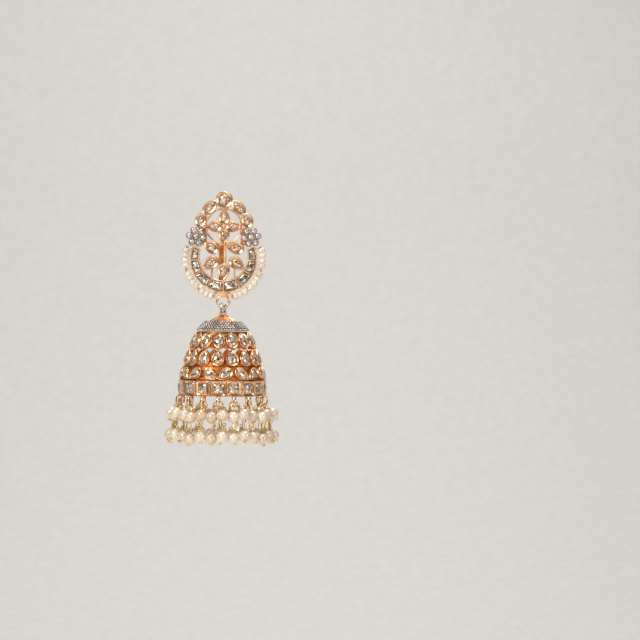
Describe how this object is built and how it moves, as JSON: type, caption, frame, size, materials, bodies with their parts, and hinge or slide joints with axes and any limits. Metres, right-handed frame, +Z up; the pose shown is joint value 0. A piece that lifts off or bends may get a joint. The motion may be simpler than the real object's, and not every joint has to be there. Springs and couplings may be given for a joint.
{
  "type": "jhumka earring",
  "caption": "Drop earring: an openwork stud set with pale stones and seed beads, a bail link, and a stone-set bell with a fringe of pearls.",
  "frame": {"origin": "where the ear post leaves the back of the stud", "axes": "+Z up as it hangs, +Y backwards along the ear post, the stones face -Y"},
  "size_m": [0.0342, 0.0342, 0.0753],
  "materials": {
    "gold_metal": "polished",
    "silver_metal": "polished",
    "champagne_stone": "faceted, foil-backed",
    "seed_bead": "smooth",
    "pearl": "pearl lustre"
  },
  "bodies": {
    "stud": {"stud_frame": "gold_metal", "ear_post": "gold_metal", "top_stone": "champagne_stone", "flank_stone_upper_left": "champagne_stone", "flank_stone_upper_right": "champagne_stone", "flank_stone_lower_left": "champagne_stone", "flank_stone_lower_right": "champagne_stone", "ring_petal_stone_top": "champagne_stone", "ring_petal_stone_left": "champagne_stone", "ring_petal_stone_bottom": "champagne_stone", "ring_petal_stone_right": "champagne_stone", "flower_petal_stone_upper_left": "champagne_stone", "flower_petal_stone_upper_right": "champagne_stone", "flower_petal_stone_lower_left": "champagne_stone", "flower_petal_stone_lower_right": "champagne_stone", "flower_petal_stone_bottom": "champagne_stone", "crescent_stone_left_1": "champagne_stone", "crescent_stone_right_1": "champagne_stone", "crescent_stone_left_2": "champagne_stone", "crescent_stone_right_2": "champagne_stone", "crescent_stone_left_3": "champagne_stone", "crescent_stone_right_3": "champagne_stone", "crescent_stone_left_4": "champagne_stone", "crescent_stone_right_4": "champagne_stone", "flower_cluster_left": "silver_metal", "flower_cluster_right": "silver_metal", "seed_beads_left": "seed_bead", "seed_beads_right": "seed_bead"},
    "bail": {"bail_link": "silver_metal"},
    "bell": {"bell_cap": "gold_metal", "pave_band": "silver_metal", "marquise_row": "gold_metal", "pear_row": "gold_metal", "paired_pear_row": "gold_metal", "square_stone_band": "gold_metal", "pearl_fringe": "pearl"}
  },
  "joints": [
    {"name": "bail_swing", "type": "hinge", "parent": "stud", "child": "bail", "pos_m": [0, -0.0012, -0.0151], "axis": [1, 0, 0], "range_deg": [-45, 45]},
    {"name": "bell_swing", "type": "hinge", "parent": "bail", "child": "bell", "pos_m": [0, -0.0012, -0.01687], "axis": [0, 1, 0], "range_deg": [-35, 35]}
  ]
}
